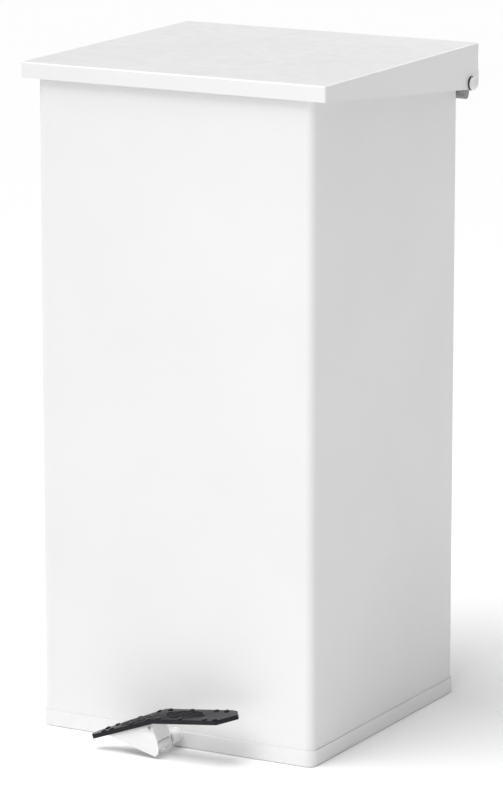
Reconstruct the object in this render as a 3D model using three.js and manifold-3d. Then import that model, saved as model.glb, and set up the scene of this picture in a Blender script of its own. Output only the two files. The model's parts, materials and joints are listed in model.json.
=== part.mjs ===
// A large square pedal bin of folded sheet steel: a powder-coated cabinet, a lid hinged at its rear with side
// skirts that deepen backwards, a rocker pedal at the foot of the front, and the linkage that joins the two.
// Millimetres, +Z up, the front of the bin faces -Y and +X is on the right of a person facing it.
import * as THREE from 'three';
import { mergeVertices } from 'three/addons/utils/BufferGeometryUtils.js';
import Module from 'manifold-3d';

const wasm = await Module();
wasm.setup();

// ---- driving dimensions -------------------------------------------------------------------------

const GAP = 0.3; // between pieces that rest on each other
const RUNNING = 0.1; // radial clearance of a shaft in its bearing
const FAR = 500; // longer than any piece, for cutters

// cabinet
const BODY = 400; // outside width and depth of the cabinet
const HALF = BODY / 2;
const BODY_LOW = 0.6; // the sheet stops just above the floor
const BODY_TOP = 865;
const WALL = 0.8;
const CORNER = 11; // outside radius of the folded corners
const RIM = 12; // inward fold round the mouth
const MOUTH_R = 4; // radius of the mouth's corners
const INSIDE = HALF - WALL;
const NOTCH = { half: 8, low: 845 }; // in the rear wall, for the lid's lever

const TRIM_OUT = 1.8; // how far the base trim stands out from the wall
const TRIM_TOP = 21;

const FLOOR_TOP = 35; // upper face of the raised floor the bucket stands on
const FLOOR_SHEET = 0.8;
const FOOT_AT = HALF - 18; // foot axis from the middle, both ways
const FOOT_R = 14;
const FOOT_SCREW = { r: 1.9, length: 14, hole: 2.3, headR: 4.5, headHigh: 2.2 };

// pedal shaft, along Y under the raised floor
const SHAFT = { x: 2, z: 15, r: 5, rear: 196 };
const HUB_R = 9;
const FRONT_BEARING = { front: -222, rear: -188, flange: 3, flangeR: HUB_R + 2 };
const REAR_BEARING = { halfX: 15, halfZ: 12 };
const COLLAR = { front: -187.4, rear: -182, r: SHAFT.r + 3 }; // behind the front bearing

// pedal, drawn level about the shaft and then rolled to the left
const PEDAL_ROLL = 13.75; // degrees, left wing down, when the lid is shut
const PEDAL_TRAVEL = 25; // degrees, right wing pressed down
const PEDAL_Y = -247; // middle of the pad, front to back
const PAD_DEPTH = 40;
const PAD_FRONT = -PAD_DEPTH / 2;
const PAD_REAR = PAD_DEPTH / 2;
// The pad from above, about the middle of its ridge: a broad right wing for the foot, and a tapering left one.
const PAD_OUTLINE = [
  [0, PAD_FRONT], [93, PAD_FRONT], [113, PAD_REAR - 16], [106, PAD_REAR - 3], [97, PAD_REAR], [0, PAD_REAR],
  [-58, PAD_REAR - 14], [-90, PAD_REAR - 26], [-97, PAD_REAR - 32], [-97, PAD_FRONT + 3], [-94, PAD_FRONT],
];
const WING_DROP = 6.9; // degrees each wing falls from the ridge
const PAD_PITCH = 5.6; // degrees the pad rises towards the cabinet
const RIDGE = { u: 10, w: 39 }; // top of the pad, right of and above the shaft
const PAD_THICK = 6;
const PLATE_THICK = 2.4;
const PAD_LIP = 2.2; // rubber beside the steel plate
const CHEEK = { thick: 2, front: -264, rear: -229, frontTip: -62, rearTip: -44 };
const SHAFT_FRONT = CHEEK.front + CHEEK.thick + 1 + GAP; // the shaft ends inside the sleeve
const SLEEVE = { r: 7, behind: 3 }; // welded round the shaft, through the rear cheek
const FOLD_PIN = { u: 2.8, w: 26, r: 2.2 }; // a cross pin through both cheeks, under the ridge

// lid
const LID = { half: 219.8, front: -207, rear: 218, topFront: 875.5, topRear: 878, sheet: 1 };
const SKIRT = { frontLow: 855, earLow: 818, rearLow: 843 }; // the rear one is shorter than the ears
const EAR_R = 11; // rounding of the ear's lower corner
const LID_OPEN = 80; // degrees

// lid hinge, along X beside the cabinet's rear corners
const HINGE = { y: 195, z: 827, r: 3 };
const SEAT = { inner: 176, outer: 208, low: 804, top: 842, rear: 215 }; // of the block, behind the wall
const ARM = { front: 186, rear: 206, low: 820, chamfer: 3 }; // of the block, beside the wall
const BOLT_HEAD = { r: 5.2, high: 3.7 }; // hexagon, sunk in the arm
const BOLT_END = LID.half + 6;
const BUSH = { r: 6, flangeR: 9.3, flange: 1.5 };
const CAP = { r: 9, high: 7.6, bore: 4.8 }; // domed, over the bolt's end

// linkage: the crank lifts the rod's foot, the rod's head lifts the lid's lever
const CRANK = { reach: 94, rest: -2.5, y: 184, thick: 4 }; // reach is level, rest in degrees above level
const LIFT = CRANK.reach * (tangent(CRANK.rest + PEDAL_TRAVEL) - tangent(CRANK.rest));
const LEVER = LIFT / (2 * sine(LID_OPEN / 2)); // hinge to lever pin
const PIN_R = 3;
const SLOT_R = PIN_R + 1.2; // the play lets one steady ratio stand for the linkage's own
const ROD = {
  r: 4,
  x: SHAFT.x - CRANK.reach,
  y: HINGE.y - (LEVER * (1 + cosine(LID_OPEN / 2))) / 2,
  footZ: SHAFT.z + CRANK.reach * tangent(CRANK.rest),
  headZ: HINGE.z - LEVER * sine(LID_OPEN / 2),
};
const ROD_HEAD = { below: 24, above: 9, halfX: 5, halfY: 12.5 };
const ROD_FOOT = { below: 8, above: 22, halfX: 8, halfY: 6 };
const SOCKET = 14; // how deep the rod enters its head and foot
const LEVER_PLATE = { x: ROD.x + 7.5, thick: 3, halfWidth: 7, rootY: HINGE.y - 47, rootZ: HINGE.z + 38 };
const LEVER_FLANGE = { front: 18, rear: 14, wide: 24, thick: 2 }; // against the lid's top sheet
const CRANK_HUB = { r: 10, ahead: 6 };
const CRANK_HALF = 8; // half the width of its arm
const CRANK_WAY = 18; // the floor's opening reaches this far past the rod, and stops this far from the shaft
const GUIDE = { half: 12, ahead: 10, shelf: 1.5, back: 2, tall: 34 };
const GUIDE_HEIGHTS = { lower: 150, upper: 700 };
const STIFFENER = { half: 150, halfWidth: 15, deep: 6 }; // channel under the lid

// inner bucket
const BUCKET = {
  y: -20,
  topX: 180, // half widths at the mouth
  topY: 162,
  lowX: 162, // and at the foot
  lowY: 144,
  low: FLOOR_TOP + GAP,
  top: 800,
  wall: 0.8,
};
const BUCKET_RIM = 5; // how far the flange round the mouth stands out
const BUCKET_TRAY = 10; // height of the floor's upturned edge
const BUCKET_CORNER = 24;
const HANDLE = { x: 168, z: 772, half: 52, drop: 38, r: 3 };
const CLIP = { inner: 6, outer: 9.8, halfY: 18, halfZ: 6 };

// ---- colours ------------------------------------------------------------------------------------

function finish(color, roughness, metalness) {
  return new THREE.MeshStandardMaterial({ color, roughness, metalness });
}

const WHITE_PAINT = finish(0xf1f1ef, 0.42, 0);
const GALVANISED = finish(0xa9adb0, 0.45, 0.8);
const STEEL = finish(0x9a9c9e, 0.35, 0.9);
const RUBBER = finish(0x2c2e33, 0.8, 0);
const GREY_PLASTIC = finish(0x808285, 0.6, 0);
const DARK_PLASTIC = finish(0x3a3c3f, 0.6, 0);
const WHITE_PLASTIC = finish(0xe8e8e6, 0.3, 0);

// ---- helpers ------------------------------------------------------------------------------------

function sine(degrees) {
  return Math.sin((degrees * Math.PI) / 180);
}

function cosine(degrees) {
  return Math.cos((degrees * Math.PI) / 180);
}

function tangent(degrees) {
  return sine(degrees) / cosine(degrees);
}

const radians = THREE.MathUtils.degToRad;

/** A closed three.js geometry as a manifold solid. */
function solid(geometry) {
  const bare = geometry.clone();
  bare.deleteAttribute('normal');
  bare.deleteAttribute('uv');
  const merged = mergeVertices(bare, 1e-4);
  const vertProperties = merged.attributes.position.array;
  const triVerts = merged.index.array;
  return new wasm.Manifold(new wasm.Mesh({ numProp: 3, vertProperties, triVerts }));
}

/** A manifold solid as a three.js geometry. */
function geometryOf(manifold) {
  const mesh = manifold.getMesh();
  const geometry = new THREE.BufferGeometry();
  geometry.setAttribute('position', new THREE.BufferAttribute(mesh.vertProperties, 3));
  geometry.setIndex(new THREE.BufferAttribute(mesh.triVerts, 1));
  geometry.computeVertexNormals();
  return geometry;
}

function block(x0, x1, y0, y1, z0, z1) {
  const geometry = new THREE.BoxGeometry(x1 - x0, y1 - y0, z1 - z0);
  return solid(geometry.translate((x0 + x1) / 2, (y0 + y1) / 2, (z0 + z1) / 2));
}

/** A body of revolution about Z from (radius, z) points that start and end on the axis. */
function turned(points, sides = 20) {
  return new THREE.LatheGeometry(points.map(([r, z]) => new THREE.Vector2(r, z)), sides).rotateX(Math.PI / 2);
}

/** A round bar from a to b along an axis, with its centre line at the given place on the other two axes. */
function bar(axis, radius, a, b, place, sides = 24) {
  const geometry = new THREE.CylinderGeometry(radius, radius, b - a, sides);
  const middle = (a + b) / 2;
  const [p, q] = place;
  if (axis === 'x') return solid(geometry.rotateZ(-Math.PI / 2).translate(middle, p, q));
  if (axis === 'y') return solid(geometry.translate(p, middle, q));
  return solid(geometry.rotateX(Math.PI / 2).translate(p, q, middle));
}

const outline = (points) => new THREE.Shape(points.map(([a, b]) => new THREE.Vector2(a, b)));

function extruded(shape, depth, curveSegments = 6) {
  return new THREE.ExtrudeGeometry(shape, { depth, bevelEnabled: false, curveSegments });
}

/** A (y, z) shape drawn out along X. */
function prismX(shape, x0, x1, curveSegments) {
  const axes = new THREE.Matrix4().makeBasis(
    new THREE.Vector3(0, 1, 0),
    new THREE.Vector3(0, 0, 1),
    new THREE.Vector3(1, 0, 0),
  );
  return solid(extruded(shape, x1 - x0, curveSegments).applyMatrix4(axes).translate(x0, 0, 0));
}

/** An (x, z) shape drawn out along Y. */
function prismY(shape, y0, y1, curveSegments) {
  return solid(extruded(shape, y1 - y0, curveSegments).rotateX(Math.PI / 2).translate(0, y1, 0));
}

/** An (x, y) shape drawn out along Z. */
function prismZ(shape, z0, z1, curveSegments) {
  return solid(extruded(shape, z1 - z0, curveSegments).translate(0, 0, z0));
}

/** A rectangle with rounded corners, about a centre. */
function roundedRectangle(halfX, halfY, radius, centreX = 0, centreY = 0) {
  const shape = new THREE.Shape();
  const corners = [
    [halfX - radius, -halfY + radius, -90],
    [halfX - radius, halfY - radius, 0],
    [-halfX + radius, halfY - radius, 90],
    [-halfX + radius, -halfY + radius, 180],
  ];
  for (const [x, y, from] of corners) {
    shape.absarc(centreX + x, centreY + y, radius, radians(from), radians(from + 90));
  }
  shape.closePath();
  return shape;
}

/** A slot with round ends from a to b. */
function slot([ax, ay], [bx, by], radius) {
  const along = Math.atan2(by - ay, bx - ax);
  const shape = new THREE.Shape();
  shape.absarc(bx, by, radius, along - Math.PI / 2, along + Math.PI / 2);
  shape.absarc(ax, ay, radius, along + Math.PI / 2, along + (3 * Math.PI) / 2);
  shape.closePath();
  return shape;
}

/** A domed head, flat below and pointing up, with a shank if one is asked for. */
function domed(headR, height, shankR = 0, shankLength = 0, sides = 20) {
  const points = shankR ? [[0, -shankLength], [shankR, -shankLength], [shankR, 0]] : [[0, 0]];
  points.push([headR, 0]);
  for (const angle of [0, 30, 60]) {
    points.push([headR * cosine(angle), height * (0.3 + 0.7 * sine(angle))]);
  }
  points.push([0, height]);
  return turned(points, sides);
}

const SIDES = [['left', -1], ['right', 1]];

/** Two distances from the middle as an ordered pair on one side of it. */
const span = (side, near, far) => (side > 0 ? [near, far] : [-far, -near]);

/** Adds a named mesh to a group. The shape is a manifold solid or a three.js geometry. */
function add(group, name, shape, material, position = [0, 0, 0], rotation = [0, 0, 0]) {
  const mesh = new THREE.Mesh(shape.isBufferGeometry ? shape : geometryOf(shape), material);
  mesh.name = name;
  mesh.position.set(...position);
  mesh.rotation.set(...rotation.map(radians));
  group.add(mesh);
}

// ---- cabinet ------------------------------------------------------------------------------------

/** Four walls folded from one sheet, with an inward rim round the mouth. */
function bodyShell() {
  const outside = prismZ(roundedRectangle(HALF, HALF, CORNER), BODY_LOW, BODY_TOP);
  const inside = prismZ(roundedRectangle(INSIDE, INSIDE, CORNER - WALL), 0, BODY_TOP - WALL);
  const mouth = prismZ(roundedRectangle(HALF - RIM, HALF - RIM, MOUTH_R), 0, FAR * 2);
  const [left, right] = [LEVER_PLATE.x - NOTCH.half, LEVER_PLATE.x + NOTCH.half];
  const notch = block(left, right, HALF - RIM - MOUTH_R, FAR, NOTCH.low, FAR * 2);
  const hubHole = bar('y', HUB_R + GAP, -FAR, 1 - INSIDE, [SHAFT.x, SHAFT.z]);
  return outside.subtract(inside).subtract(mouth).subtract(notch).subtract(hubHole);
}

/** A band round the foot of the cabinet. */
function baseTrim() {
  const face = HALF + TRIM_OUT;
  const within = HALF + GAP;
  return prismZ(roundedRectangle(face, face, CORNER + TRIM_OUT), BODY_LOW, TRIM_TOP)
    .subtract(prismZ(roundedRectangle(within, within, CORNER + GAP), 0, FAR))
    .subtract(bar('y', HUB_R + GAP, -FAR, 0, [SHAFT.x, SHAFT.z]));
}

/** A shallow tray, open side down, with notches for the shaft and an opening for the crank and the rod. */
function floorPanel() {
  const outer = INSIDE - GAP;
  const inner = outer - FLOOR_SHEET;
  const cornerR = CORNER - WALL - GAP;
  const notchHalf = HUB_R + 2;
  const behindBucket = BUCKET.y + BUCKET.topY + BUCKET_RIM + 4;
  let panel = prismZ(roundedRectangle(outer, outer, cornerR), BODY_LOW, FLOOR_TOP)
    .subtract(prismZ(roundedRectangle(inner, inner, cornerR - FLOOR_SHEET), 0, FLOOR_TOP - FLOOR_SHEET))
    .subtract(block(SHAFT.x - notchHalf, SHAFT.x + notchHalf, -FAR, FAR, 0, SHAFT.z + notchHalf))
    .subtract(block(ROD.x - CRANK_WAY, SHAFT.x - CRANK_WAY, behindBucket, inner - 4, 0, FAR));
  for (const x of [-FOOT_AT, FOOT_AT]) {
    for (const y of [-FOOT_AT, FOOT_AT]) {
      panel = panel.subtract(bar('z', FOOT_SCREW.hole, 0, FAR, [x, y], 16));
    }
  }
  return panel;
}

/** A plastic leg under a corner of the floor, with a blind hole for its screw. */
function foot() {
  const top = FLOOR_TOP - FLOOR_SHEET - GAP;
  const legR = FOOT_R - 2;
  const hole = FOOT_SCREW.r + GAP;
  const depth = FOOT_SCREW.length + 4;
  return turned([
    [0, 0], [legR, 0], [FOOT_R, 2], [FOOT_R, 8], [legR, 10], [legR, top],
    [hole, top], [hole, top - depth], [0, top - depth],
  ]);
}

/** The screw that holds a foot, with a domed head above the floor. */
function footScrew() {
  const { r, length, headR, headHigh } = FOOT_SCREW;
  return domed(headR, headHigh, r, length, 16);
}

/** The bush in the front wall that the pedal shaft turns in, with a flange against the base trim. */
function frontBearing() {
  const face = -HALF - TRIM_OUT - GAP;
  return bar('y', HUB_R, FRONT_BEARING.front, FRONT_BEARING.rear, [0, 0])
    .add(bar('y', FRONT_BEARING.flangeR, face - FRONT_BEARING.flange, face, [0, 0]))
    .subtract(bar('y', SHAFT.r + RUNNING, -FAR, FAR, [0, 0]));
}

/** The bearing block on the rear wall. */
function rearBearing() {
  const front = CRANK.y + CRANK.thick + 2 * GAP;
  const { halfX, halfZ } = REAR_BEARING;
  return block(-halfX, halfX, front, INSIDE - FLOOR_SHEET - 3 * GAP, -halfZ, halfZ)
    .subtract(bar('y', SHAFT.r + RUNNING, -FAR, FAR, [0, 0]));
}

/** An angle on the rear wall that the lift rod slides through. */
function rodGuide() {
  const back = INSIDE - GAP;
  const { half, ahead, shelf, tall } = GUIDE;
  return block(-half, half, ROD.y - ahead, back, -shelf, shelf)
    .add(block(-half, half, back - GUIDE.back, back, -shelf, tall))
    .subtract(bar('z', ROD.r + GAP, -FAR, FAR, [0, ROD.y], 24));
}

function lidBuffer() {
  const top = LID.topFront - LID.sheet - BODY_TOP - 2 * GAP;
  return turned([[0, 0], [6, 0], [6, top - 2], [4, top], [0, top]], 20);
}

/** A plastic block round the cabinet's rear corner: a tapered seat and an arm for the bolt. */
function hingeBlock(side) {
  const wall = HALF + GAP;
  const seat = outline([
    [wall, SEAT.top], [wall, SEAT.low + 5], [wall + 3, SEAT.low],
    [SEAT.rear - 4, SEAT.low], [SEAT.rear, SEAT.low + 10], [SEAT.rear, SEAT.top],
  ]);
  const arm = outline([
    [ARM.front, SEAT.top], [ARM.front, ARM.low + ARM.chamfer], [ARM.front + ARM.chamfer, ARM.low],
    [ARM.rear - ARM.chamfer, ARM.low], [ARM.rear, ARM.low + ARM.chamfer], [ARM.rear, SEAT.top],
  ]);
  const recess = span(side, 0, wall + GAP + BOLT_HEAD.high + GAP);
  return prismX(seat, ...span(side, SEAT.inner, SEAT.outer))
    .add(prismX(arm, ...span(side, wall, LID.half - LID.sheet - 2 * GAP)))
    .subtract(bar('x', HINGE.r + RUNNING, -FAR, FAR, [HINGE.y, HINGE.z]))
    .subtract(bar('x', BOLT_HEAD.r + GAP, ...recess, [HINGE.y, HINGE.z]));
}

/** The hinge bolt, drawn along X, with its hexagon head beside the cabinet's wall. */
function hingeBolt() {
  const head = HALF + 2 * GAP;
  return bar('x', HINGE.r, head + 1, BOLT_END, [0, 0])
    .add(bar('x', BOLT_HEAD.r, head, head + BOLT_HEAD.high, [0, 0], 6));
}

/** A domed cap over the bolt's end, outside the lid's ear. */
function capNut() {
  const dome = solid(domed(CAP.r, CAP.high, 0, 0, 24).rotateY(Math.PI / 2));
  return dome.subtract(bar('x', HINGE.r + GAP, -1, CAP.bore, [0, 0]));
}

function addHingeSeat(cabinet, name, side) {
  const turn = [0, 0, side > 0 ? 0 : 180]; // left-hand pieces are right-hand ones turned about the vertical
  const capX = LID.half + BUSH.flange + 2 * GAP;
  add(cabinet, `hinge_block_${name}`, hingeBlock(side), GREY_PLASTIC);
  add(cabinet, `hinge_bolt_${name}`, hingeBolt(), STEEL, [0, HINGE.y, HINGE.z], turn);
  add(cabinet, `cap_nut_${name}`, capNut(), WHITE_PLASTIC, [side * capX, HINGE.y, HINGE.z], turn);
  for (const [level, z] of [['upper', SEAT.top - 7], ['lower', SEAT.low + 16]]) {
    add(cabinet, `block_screw_${level}_${name}`, domed(3.4, 1.8, 0, 0, 14), STEEL,
      [side * (SEAT.inner + 10), SEAT.rear + GAP, z], [-90, 0, 0]);
  }
}

function addCabinet(bin) {
  const cabinet = new THREE.Group();
  bin.add(cabinet);
  add(cabinet, 'body_shell', bodyShell(), WHITE_PAINT);
  add(cabinet, 'base_trim', baseTrim(), WHITE_PAINT);
  add(cabinet, 'floor_panel', floorPanel(), GALVANISED);
  for (const [end, sy] of [['front', -1], ['rear', 1]]) {
    for (const [name, sx] of SIDES) {
      const [x, y] = [sx * FOOT_AT, sy * FOOT_AT];
      add(cabinet, `foot_${end}_${name}`, foot(), DARK_PLASTIC, [x, y, 0]);
      add(cabinet, `foot_screw_${end}_${name}`, footScrew(), STEEL, [x, y, FLOOR_TOP + GAP]);
    }
  }
  add(cabinet, 'front_bearing', frontBearing(), WHITE_PLASTIC, [SHAFT.x, 0, SHAFT.z]);
  add(cabinet, 'rear_bearing', rearBearing(), GREY_PLASTIC, [SHAFT.x, 0, SHAFT.z]);
  for (const [level, z] of Object.entries(GUIDE_HEIGHTS)) {
    add(cabinet, `rod_guide_${level}`, rodGuide(), GALVANISED, [ROD.x, 0, z]);
    for (const [name, side] of SIDES) {
      add(cabinet, `guide_rivet_${level}_${name}`, domed(4, 1.8, 0, 0, 16), WHITE_PAINT,
        [ROD.x + 7 * side, HALF + GAP, z + 22], [-90, 0, 0]);
    }
  }
  for (const [name, side] of SIDES) {
    add(cabinet, `lid_buffer_${name}`, lidBuffer(), RUBBER, [side * 150, -HALF + RIM / 2, BODY_TOP + GAP]);
    addHingeSeat(cabinet, name, side);
  }
}

// ---- lid, drawn about the hinge line ------------------------------------------------------------

/** Height of the underside of the lid's top sheet, at a place front to back. */
function lidUnderside(y) {
  return LID.topFront + ((LID.topRear - LID.topFront) * (y - LID.front)) / (LID.rear - LID.front) - LID.sheet;
}

/** The folded lid: a top sheet with skirts, the side ones deepening to the rear into the hinge ears. */
function lidPanel() {
  const within = LID.half - LID.sheet;
  const profile = new THREE.Shape();
  profile.moveTo(LID.front, SKIRT.frontLow);
  profile.lineTo(LID.rear - EAR_R, SKIRT.earLow);
  profile.absarc(LID.rear - EAR_R, SKIRT.earLow + EAR_R, EAR_R, radians(-90), 0);
  profile.lineTo(LID.rear, LID.topRear);
  profile.lineTo(LID.front, LID.topFront);
  profile.closePath();
  const [front, rear] = [LID.front + LID.sheet, LID.rear - LID.sheet];
  const hollow = outline([[front, 0], [rear, 0], [rear, lidUnderside(rear)], [front, lidUnderside(front)]]);
  return prismX(profile, -LID.half, LID.half)
    .subtract(prismX(hollow, -within, within))
    .subtract(block(-within, within, HALF, FAR, 0, SKIRT.rearLow))
    .subtract(bar('x', BUSH.r + GAP, -FAR, FAR, [HINGE.y, HINGE.z]));
}

/** A channel across the underside of the top sheet. */
function lidStiffener() {
  const { half, halfWidth, deep } = STIFFENER;
  const within = halfWidth - LID.sheet;
  const top = lidUnderside(-halfWidth) - GAP;
  const channel = block(-FAR, FAR, -within, within, top - deep + LID.sheet, FAR * 2);
  return block(-half, half, -halfWidth, halfWidth, top - deep, top).subtract(channel);
}

/** The plate that hangs from the top sheet and carries the lever pin. */
function lidLever() {
  const { x, thick, halfWidth, rootY, rootZ } = LEVER_PLATE;
  const { front, rear, wide } = LEVER_FLANGE;
  const pin = [HINGE.y - LEVER * cosine(LID_OPEN / 2), ROD.headZ];
  const top = lidUnderside(rootY - front) - GAP;
  const [left, right] = [x - thick / 2, x + thick / 2];
  return prismX(slot([rootY, rootZ], pin, halfWidth), left, right)
    .add(block(left, right, rootY - halfWidth, rootY + halfWidth, rootZ, top))
    .add(block(left, right + wide, rootY - front, rootY + rear, top - LEVER_FLANGE.thick, top))
    .subtract(bar('x', PIN_R + GAP, -FAR, FAR, pin));
}

/** The pin in the lever's end, with a head on the far side from the rod. */
function leverPin() {
  const { x, thick } = LEVER_PLATE;
  const head = x + thick / 2 + GAP;
  return bar('x', PIN_R, ROD.x - 7, head + 1, [0, 0]).add(bar('x', PIN_R + 2, head, head + 2, [0, 0]));
}

/** The dark bush between an ear and its bolt, with a flange outside the ear. */
function lidBush() {
  const flange = LID.half + GAP;
  return bar('x', BUSH.r, LID.half - LID.sheet, flange + 1, [0, 0])
    .add(bar('x', BUSH.flangeR, flange, flange + BUSH.flange, [0, 0]))
    .subtract(bar('x', HINGE.r + RUNNING, 0, FAR, [0, 0]));
}

function addLid(bin) {
  const lid = new THREE.Group();
  lid.position.set(0, HINGE.y, HINGE.z);
  bin.add(lid);
  const toHinge = [0, -HINGE.y, -HINGE.z];
  add(lid, 'lid_panel', lidPanel(), WHITE_PAINT, toHinge);
  add(lid, 'lid_stiffener', lidStiffener(), WHITE_PAINT, toHinge);
  add(lid, 'lid_lever', lidLever(), GALVANISED, toHinge);
  add(lid, 'lever_pin', leverPin(), STEEL,
    [0, -LEVER * cosine(LID_OPEN / 2), -LEVER * sine(LID_OPEN / 2)]);
  for (const [name, side] of SIDES) {
    add(lid, `lid_bush_${name}`, lidBush(), DARK_PLASTIC, [0, 0, 0], [0, 0, side > 0 ? 0 : 180]);
  }
}

// ---- lift rod -----------------------------------------------------------------------------------

/** The slotted block at the top of the rod. The slot lets the lever pin swing fore and aft. */
function rodHead() {
  const swing = (LEVER * (1 - cosine(LID_OPEN / 2))) / 2;
  const { halfX, halfY, below, above } = ROD_HEAD;
  return block(-halfX, halfX, -halfY, halfY, -below, above)
    .subtract(prismX(slot([-swing, 0], [swing, 0], SLOT_R), -FAR, FAR))
    .subtract(bar('z', ROD.r + GAP, -FAR, SOCKET - below, [0, 0]));
}

/** The block at the foot of the rod, bored for the rod and for the pin that rides in the crank. */
function rodFoot() {
  const { halfX, halfY, below, above } = ROD_FOOT;
  return block(-halfX, halfX, -halfY, halfY, -below, above)
    .subtract(bar('y', PIN_R + GAP, -FAR, FAR, [0, 0]))
    .subtract(bar('z', ROD.r + GAP, above - SOCKET, FAR, [0, 0]));
}

function addLiftRod(bin) {
  const rod = new THREE.Group();
  rod.position.set(ROD.x, ROD.y, 0);
  bin.add(rod);
  const low = ROD.footZ + ROD_FOOT.above - SOCKET + GAP;
  const high = ROD.headZ - ROD_HEAD.below + SOCKET - GAP;
  const footPin = bar('y', PIN_R, -ROD_FOOT.halfY - 1, CRANK.y + CRANK.thick + 1.5 - ROD.y, [0, 0]);
  add(rod, 'lift_rod', bar('z', ROD.r, low, high, [0, 0]), STEEL);
  add(rod, 'rod_head', rodHead(), GALVANISED, [0, 0, ROD.headZ]);
  add(rod, 'rod_foot', rodFoot(), GALVANISED, [0, 0, ROD.footZ]);
  add(rod, 'rod_foot_pin', footPin, STEEL, [0, 0, ROD.footZ]);
}

// ---- pedal, drawn level about its shaft ---------------------------------------------------------

/** A slab bent along the ridge line, between two depths below the pad's top, and wider than the pad. */
function gable(high, low) {
  const fall = FAR * tangent(WING_DROP);
  const shape = outline([
    [0, -high], [-FAR, -high - fall], [-FAR, -low - fall],
    [0, -low], [FAR, -low - fall], [FAR, -high - fall],
  ]);
  return prismY(shape, -FAR, FAR);
}

/** The pad's outline drawn in by a margin, and drawn out as a column. */
function padColumn(margin) {
  const [left, right] = [Math.min(...PAD_OUTLINE.map(([u]) => u)), Math.max(...PAD_OUTLINE.map(([u]) => u))];
  const shrinkU = 1 - (2 * margin) / (right - left);
  const shrinkV = 1 - (2 * margin) / PAD_DEPTH;
  const middle = (left + right) / 2;
  const drawnIn = PAD_OUTLINE.map(([u, v]) => [middle + (u - middle) * shrinkU, v * shrinkV]);
  return prismZ(outline(drawnIn), -FAR, FAR);
}

/** The rubber pad, recessed below for its steel plate. */
function pedalPad() {
  const recess = gable(PAD_THICK - PLATE_THICK - GAP, FAR).intersect(padColumn(PAD_LIP));
  return gable(0, PAD_THICK).intersect(padColumn(0)).subtract(recess);
}

function pedalPlate() {
  return gable(PAD_THICK - PLATE_THICK, PAD_THICK).intersect(padColumn(PAD_LIP + GAP));
}

/** Height of the pad's underside above the shaft, at the ridge, at a place front to back. */
function undersideAt(y) {
  return RIDGE.w - PAD_THICK - 2 * GAP + (y - PEDAL_Y) * tangent(PAD_PITCH);
}

/** The folded bracket: two cheeks under the left wing, joined by a web and by the sleeve on the shaft. */
function pedalBracket() {
  const cheek = (y, tip) => {
    const top = (u) => undersideAt(y) - (RIDGE.u - u) * tangent(WING_DROP);
    const sheet = outline([[tip, top(tip)], [2, -12.5], [7, -9], [9.5, -2], [7.4, 22], [7.4, top(7.4)]]);
    return prismY(sheet, y, y + CHEEK.thick);
  };
  const webTop = undersideAt(CHEEK.front) - RIDGE.u * tangent(WING_DROP);
  const webShape = outline([[5.4, webTop], [7.4, webTop], [7.4, 22], [9.8, 7], [7.8, 7], [5.4, 22]]);
  const web = prismY(webShape, CHEEK.front + 1, CHEEK.rear - 1);
  const shaftHole = bar('y', SHAFT.r + GAP, SHAFT_FRONT - GAP, FAR, [0, 0]);
  return cheek(CHEEK.front, CHEEK.frontTip)
    .add(cheek(CHEEK.rear - CHEEK.thick, CHEEK.rearTip))
    .add(web)
    .add(bar('y', SLEEVE.r, CHEEK.front + 1, CHEEK.rear + SLEEVE.behind, [0, 0]))
    .subtract(shaftHole)
    .subtract(bar('y', FOLD_PIN.r + GAP, -FAR, FAR, [FOLD_PIN.u, FOLD_PIN.w]));
}

function foldPin() {
  return bar('y', FOLD_PIN.r, CHEEK.front - 1, CHEEK.rear + 1, [FOLD_PIN.u, FOLD_PIN.w], 20);
}

/** A crank with a slot for the foot pin, the arm pointing left. */
function crank() {
  const nearest = CRANK.reach;
  const furthest = CRANK.reach / cosine(CRANK.rest + PEDAL_TRAVEL);
  const rear = CRANK.y + CRANK.thick;
  return prismY(slot([-furthest, 0], [0, 0], CRANK_HALF), CRANK.y, rear)
    .add(bar('y', CRANK_HUB.r, CRANK.y - CRANK_HUB.ahead, rear, [0, 0]))
    .subtract(prismY(slot([-furthest - 0.5, 0], [-nearest + 0.5, 0], SLOT_R), -FAR, FAR))
    .subtract(bar('y', SHAFT.r + GAP, -FAR, FAR, [0, 0]));
}

/** A ring on the shaft, behind the front wall. */
function shaftCollar() {
  return bar('y', COLLAR.r, COLLAR.front, COLLAR.rear, [0, 0])
    .subtract(bar('y', SHAFT.r + GAP, -FAR, FAR, [0, 0]));
}

function addPedal(bin) {
  const pedal = new THREE.Group();
  pedal.position.set(SHAFT.x, 0, SHAFT.z);
  pedal.rotation.y = radians(-PEDAL_ROLL);
  bin.add(pedal);
  const onRidge = [[RIDGE.u, PEDAL_Y, RIDGE.w], [PAD_PITCH, 0, 0]];
  add(pedal, 'pedal_shaft', bar('y', SHAFT.r, SHAFT_FRONT, SHAFT.rear, [0, 0]), STEEL);
  add(pedal, 'pedal_bracket', pedalBracket(), WHITE_PAINT);
  add(pedal, 'fold_pin', foldPin(), STEEL);
  add(pedal, 'pedal_plate', pedalPlate(), STEEL, ...onRidge);
  add(pedal, 'pedal_pad', pedalPad(), RUBBER, ...onRidge);
  add(pedal, 'shaft_collar', shaftCollar(), STEEL);
  add(pedal, 'crank', crank(), GALVANISED, [0, 0, 0], [0, PEDAL_ROLL + CRANK.rest, 0]);
}

// ---- inner bucket -------------------------------------------------------------------------------

/** A rounded box that widens upwards. */
function flared(lowX, lowY, topX, topY, radius, z0, z1) {
  const geometry = extruded(roundedRectangle(lowX, lowY, radius), z1 - z0);
  const places = geometry.attributes.position;
  for (let i = 0; i < places.count; i += 1) {
    if (places.getZ(i) > 0) places.setXY(i, (places.getX(i) * topX) / lowX, (places.getY(i) * topY) / lowY);
  }
  return solid(geometry.translate(0, BUCKET.y, z0));
}

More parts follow.
